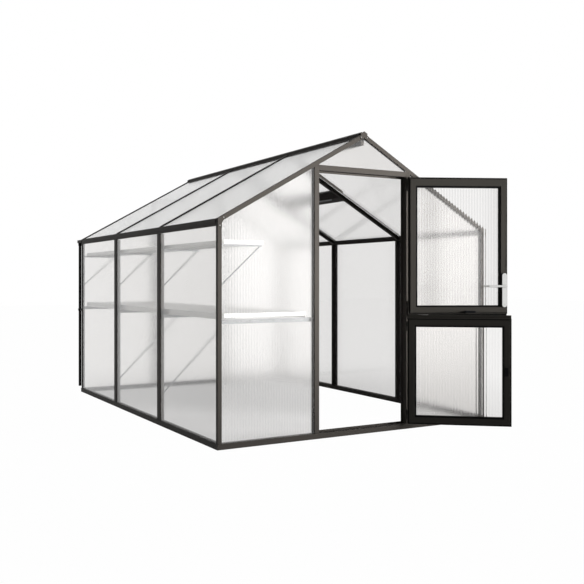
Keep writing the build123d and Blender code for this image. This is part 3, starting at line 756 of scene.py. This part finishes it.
@dataclass
class Screws:
    """Pan-head screws of the gable plates, hinges and handle plates, in millimetres."""

    head: float = 4.2
    crown: float = 0.72
    sides: int = 18
    rise: float = 2.4
    socket: float = 1.7
    socket_depth: float = 1.2
    plate_face: float = 3.0
    length: float = 3052.0
    plate_points: tuple[tuple[float, float], ...] = ((1086.0, 1390.0), (1060.0, 1440.6), (24.0, 2026.7))
    jamb_x: float = 376.0
    leaf_x: float = 338.0
    knuckle_points: tuple[float, float] = (9.0, 25.0)
    handle_x: float = -330.0
    handle_faces: tuple[float, float] = (-8.0, 44.0)
    handle_levels: tuple[float, float] = (878.0, 1082.0)

    def build(self, finishes: Finishes) -> None:
        """Make the screws of the frame and of both leaves, and dress them.

        Args:
            finishes: The finishes of the greenhouse.
        """
        front, back = [], []
        for x, z in self.plate_points:
            for side in (-x, x):
                front.append((side, -self.plate_face, z))
                back.append((side, self.length + self.plate_face, z))
        levels = UPPER_LEAF.hinge_levels() + LOWER_LEAF.hinge_levels()
        front += [(self.jamb_x, -self.plate_face, level - drop) for level in levels
                  for drop in self.knuckle_points]
        self.row("frame_screws", "greenhouse", front, back, None, finishes)
        for leaf in (UPPER_LEAF, LOWER_LEAF):
            outside = [(self.leaf_x, -self.plate_face, level + rise) for level in leaf.hinge_levels()
                       for rise in self.knuckle_points]
            self.row(f"{leaf.body}_screws", leaf.body, outside, [], leaf.swing(), finishes)
        outside, inside = ([(self.handle_x, face, level) for level in self.handle_levels]
                           for face in self.handle_faces)
        self.row("handle_screws", "upper_leaf", outside, inside, UPPER_LEAF.swing(), finishes)

    def row(self, name: str, body: str, outside: list[tuple[float, float, float]],
            inside: list[tuple[float, float, float]], place: Matrix | None, finishes: Finishes) -> None:
        """Make one piece of several screw heads.

        Args:
            name: Name of the piece.
            body: Body that it moves with.
            outside: Points of the heads that face the front.
            inside: Points of the heads that face the back.
            place: Turn from shut to where a leaf stands, or nothing.
            finishes: The finishes of the greenhouse.
        """
        shape = bmesh.new()
        for points, turn in ((outside, 90.0), (inside, -90.0)):
            for point in points:
                self.add_head(shape, Vector(point) * MM, turn)
        piece = keep_piece(shape, name, body, place)
        finishes.put(piece, "brushed_steel_fittings")

    def add_head(self, shape: bmesh.types.BMesh, point: Vector, turn: float) -> None:
        """Add one domed head with a socket.

        Args:
            shape: The bmesh that gets it.
            point: Middle of its seat.
            turn: Turn about the level axis that faces it outwards.
        """
        stand = (Matrix.Translation(point) @ Matrix.Rotation(math.radians(turn), 4, "X")
                 @ Matrix.Translation((0.0, 0.0, self.rise / 2 * MM)))
        crown = self.head * self.crown
        made = bmesh.ops.create_cone(shape, cap_ends=True, segments=self.sides, radius1=self.head * MM,
                                     radius2=crown * MM, depth=self.rise * MM, matrix=stand)["verts"]
        outwards = stand.to_3x3() @ Vector((0.0, 0.0, 1.0))
        caps = {part for vert in made for part in vert.link_faces if len(part.verts) > 4}
        top = max(caps, key=lambda part: part.calc_center_median().dot(outwards))
        bmesh.ops.inset_individual(shape, faces=[top], thickness=(crown - self.socket) * MM,
                                   depth=-self.socket_depth * MM)


@dataclass
class PipeCollars:
    """Collars that hold the downpipes to the gutter outlets, in millimetres."""

    across: float = 1084.0
    along: float = 3163.0
    bore: float = 13.25
    wall: float = 3.0
    sides: int = 40
    rim: float = 0.8
    rim_segments: int = 2
    foot: float = 1380.0
    top: float = 1403.8

    def build(self, finishes: Finishes) -> None:
        """Make both collars and dress them.

        Args:
            finishes: The finishes of the greenhouse.
        """
        for name, side in (("left", -1.0), ("right", 1.0)):
            shape = bmesh.new()
            bmesh.ops.create_circle(shape, segments=self.sides, radius=(self.bore + self.wall) * MM)
            raised = new_verts(bmesh.ops.extrude_edge_only(shape, edges=shape.edges[:]))
            bmesh.ops.translate(shape, vec=Vector((0.0, 0.0, (self.top - self.foot) * MM)), verts=raised)
            bmesh.ops.recalc_face_normals(shape, faces=shape.faces)
            bmesh.ops.solidify(shape, geom=shape.faces[:], thickness=self.wall * MM)
            round_edges(shape, sharp_edges(shape), self.rim, self.rim_segments)
            place = Matrix.Translation(Vector((side * self.across, self.along, self.foot)) * MM)
            piece = keep_piece(shape, f"pipe_collar_{name}", "greenhouse", place)
            finishes.put(piece, "moulded_pvc_pipe")


@dataclass
class Studio:
    """Plain pale floor, soft light from the front right and the photograph's camera, with places in metres."""

    key_passes: list[bpy.types.Object]
    fill_lights: list[bpy.types.Object]
    floor_size: float = 60.0
    floor_drop_mm: float = 0.5
    floor_colour: str = "F4F4F4"
    floor_glow: float = 0.99
    shade_glow: float = 0.38
    shade_reach: float = 2.2
    shade_samples: int = 8
    key_place: tuple[float, float, float] = (6.9, -5.2, 1.4)
    key_aim: tuple[float, float, float] = (0.95, 0.0, 1.35)
    key_width: float = 3.6
    key_height: float = 1.4
    key_spread: float = 23.0
    key_watts: float = 158.0
    fill_place: tuple[float, float, float] = (-6.0, 5.5, 2.2)
    fill_aim: tuple[float, float, float] = (-1.1, 1.5, 0.9)
    fill_size: float = 3.0
    fill_watts: float = 880.0
    ambient: float = 0.12
    camera_place: tuple[float, float, float] = (-3.2057, -4.5641, 1.0523)
    camera_turn: float = -30.0
    camera_lens: float = 50.0
    camera_sensor: float = 36.0
    camera_shift: float = -0.02065

    def build(self) -> None:
        """Make the floor, the world, the lamps and the camera."""
        self.build_floor()
        self.build_world()
        self.build_key()
        self.build_fill()
        self.build_camera()

    def build_floor(self) -> None:
        """Make the floor, white to the eye, that keeps a faint shadow."""
        mesh = bpy.data.meshes.new("studio_floor")
        shape = bmesh.new()
        bmesh.ops.create_grid(shape, x_segments=1, y_segments=1, size=self.floor_size / 2)
        bmesh.ops.translate(shape, vec=Vector((0.0, 0.0, -self.floor_drop_mm * MM)), verts=shape.verts)
        shape.to_mesh(mesh)
        shape.free()
        floor = bpy.data.objects.new("studio_floor", mesh)
        bpy.context.scene.collection.objects.link(floor)
        material = bpy.data.materials.new("studio_floor_paint")
        tree = empty_tree(material)
        paint = add_node(tree, "ShaderNodeBsdfDiffuse", values={"Color": linear(self.floor_colour)})
        glow = add_node(tree, "ShaderNodeEmission", values={"Color": linear(WHITE), "Strength": 1.0})
        rays = add_node(tree, "ShaderNodeLightPath")
        seen = self.seen_share(tree, rays)
        open_sky = add_node(tree, "ShaderNodeAmbientOcclusion", values={"Distance": self.shade_reach},
                            samples=self.shade_samples)
        bright = add_node(tree, "ShaderNodeMath", operation="MAXIMUM",
                          links={0: open_sky.outputs["AO"], 1: rays.outputs["Is Camera Ray"]})
        level = add_node(tree, "ShaderNodeMapRange", links={"Value": bright.outputs["Value"]},
                         values={"To Min": self.shade_glow, "To Max": self.floor_glow})
        share = add_node(tree, "ShaderNodeMath", operation="MULTIPLY",
                         links={0: seen, 1: level.outputs["Result"]})
        both = add_node(tree, "ShaderNodeMixShader", links={0: share.outputs["Value"],
                                                            1: paint.outputs["BSDF"],
                                                            2: glow.outputs["Emission"]})
        add_node(tree, "ShaderNodeOutputMaterial", links={"Surface": both.outputs["Shader"]})
        mesh.materials.append(material)

    def seen_share(self, tree: bpy.types.NodeTree, rays: bpy.types.Node) -> bpy.types.NodeSocket:
        """Add up the rays that show the backdrop.

        Args:
            tree: Node tree that gets the sum.
            rays: Light Path node of that tree.

        Returns:
            A socket that is one for camera, glossy and transmission rays that no matt face has scattered.
        """
        first = add_node(tree, "ShaderNodeMath", operation="MAXIMUM",
                         links={0: rays.outputs["Is Camera Ray"], 1: rays.outputs["Is Glossy Ray"]})
        both = add_node(tree, "ShaderNodeMath", operation="MAXIMUM",
                        links={0: first.outputs["Value"], 1: rays.outputs["Is Transmission Ray"]})
        clear = add_node(tree, "ShaderNodeMath", operation="LESS_THAN",
                         links={0: rays.outputs["Diffuse Depth"]}, values={1: 0.5})
        seen = add_node(tree, "ShaderNodeMath", operation="MULTIPLY",
                        links={0: both.outputs["Value"], 1: clear.outputs["Value"]})
        return seen.outputs["Value"]

    def build_world(self) -> None:
        """Make a white backdrop to the eye, and a dimmer light on the object."""
        world = bpy.data.worlds.new("studio_world")
        tree = empty_tree(world)
        rays = add_node(tree, "ShaderNodeLightPath")
        seen = self.seen_share(tree, rays)
        light = add_node(tree, "ShaderNodeBackground",
                         values={"Color": linear(WHITE), "Strength": self.ambient})
        backdrop = add_node(tree, "ShaderNodeBackground", values={"Color": linear(WHITE), "Strength": 1.0})
        both = add_node(tree, "ShaderNodeMixShader", links={0: seen, 1: light.outputs["Background"],
                                                            2: backdrop.outputs["Background"]})
        add_node(tree, "ShaderNodeOutputWorld", links={"Surface": both.outputs["Shader"]})
        bpy.context.scene.world = world

    def build_key(self) -> None:
        """Make the large soft lamp at the front right, which shines through the front and leaf sheets."""
        lamp = bpy.data.lights.new("key_softbox", "AREA")
        lamp.shape = "RECTANGLE"
        lamp.size = self.key_width
        lamp.size_y = self.key_height
        lamp.spread = math.radians(self.key_spread)
        lamp.energy = self.key_watts
        holder = self.hang_lamp(lamp, self.key_place, self.key_aim)
        blockers = bpy.data.collections.new("key_blockers")
        for sheet in self.key_passes:
            blockers.objects.link(sheet)
        for entry in blockers.collection_objects:
            entry.light_linking.link_state = "EXCLUDE"
        holder.light_linking.blocker_collection = blockers

    def build_fill(self) -> None:
        """Make the weaker lamp that lightens the sheets of the left wall and the left slope."""
        lamp = bpy.data.lights.new("fill_softbox", "AREA")
        lamp.shape = "SQUARE"
        lamp.size = self.fill_size
        lamp.energy = self.fill_watts
        holder = self.hang_lamp(lamp, self.fill_place, self.fill_aim)
        receivers = bpy.data.collections.new("fill_receivers")
        for sheet in self.fill_lights:
            receivers.objects.link(sheet)
        holder.light_linking.receiver_collection = receivers

    def hang_lamp(self, lamp: bpy.types.Light, place: tuple[float, float, float],
                  aim: tuple[float, float, float]) -> bpy.types.Object:
        """Hang a lamp that isn't seen itself.

        Args:
            lamp: The lamp.
            place: Where it hangs.
            aim: The point that it faces.

        Returns:
            The lamp's object.
        """
        holder = bpy.data.objects.new(lamp.name, lamp)
        holder.location = place
        holder.rotation_euler = (Vector(aim) - Vector(place)).to_track_quat("-Z", "Y").to_euler()
        holder.visible_camera = False
        holder.visible_glossy = False
        holder.visible_transmission = False
        bpy.context.scene.collection.objects.link(holder)
        return holder

    def build_camera(self) -> None:
        """Make the camera where the photograph was taken from."""
        lens = bpy.data.cameras.new("photo_camera")
        lens.lens = self.camera_lens
        lens.sensor_width = self.camera_sensor
        lens.shift_y = self.camera_shift
        holder = bpy.data.objects.new("photo_camera", lens)
        holder.location = self.camera_place
        holder.rotation_euler = (math.radians(90.0), 0.0, math.radians(self.camera_turn))
        bpy.context.scene.collection.objects.link(holder)
        bpy.context.scene.camera = holder


def main() -> None:
    """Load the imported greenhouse, dress it and set it in the studio."""
    logging.basicConfig(level=logging.INFO, format="%(message)s")
    for leftover in list(bpy.data.objects):
        bpy.data.objects.remove(leftover)
    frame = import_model()
    nodes = frame["nodes"]
    bpy.context.scene.view_settings.view_transform = "Standard"
    finishes = Finishes()
    finishes.make()
    packed = PackedPieces(nodes)
    packed.dress(finishes)
    packed.soften()
    DoorTrim(UPPER_LEAF, brush_spans=MEETING_BRUSH).build(finishes)
    DoorTrim(LOWER_LEAF).build(finishes)
    TrayEnds().build(finishes)
    Screws().build(finishes)
    PipeCollars().build(finishes)
    Studio([nodes["front_sheets"], nodes["upper_leaf_sheet"], nodes["lower_leaf_sheet"]],
           [nodes["wall_sheets_left"], nodes["roof_sheets_left"]]).build()


if __name__ == "__main__":
    main()
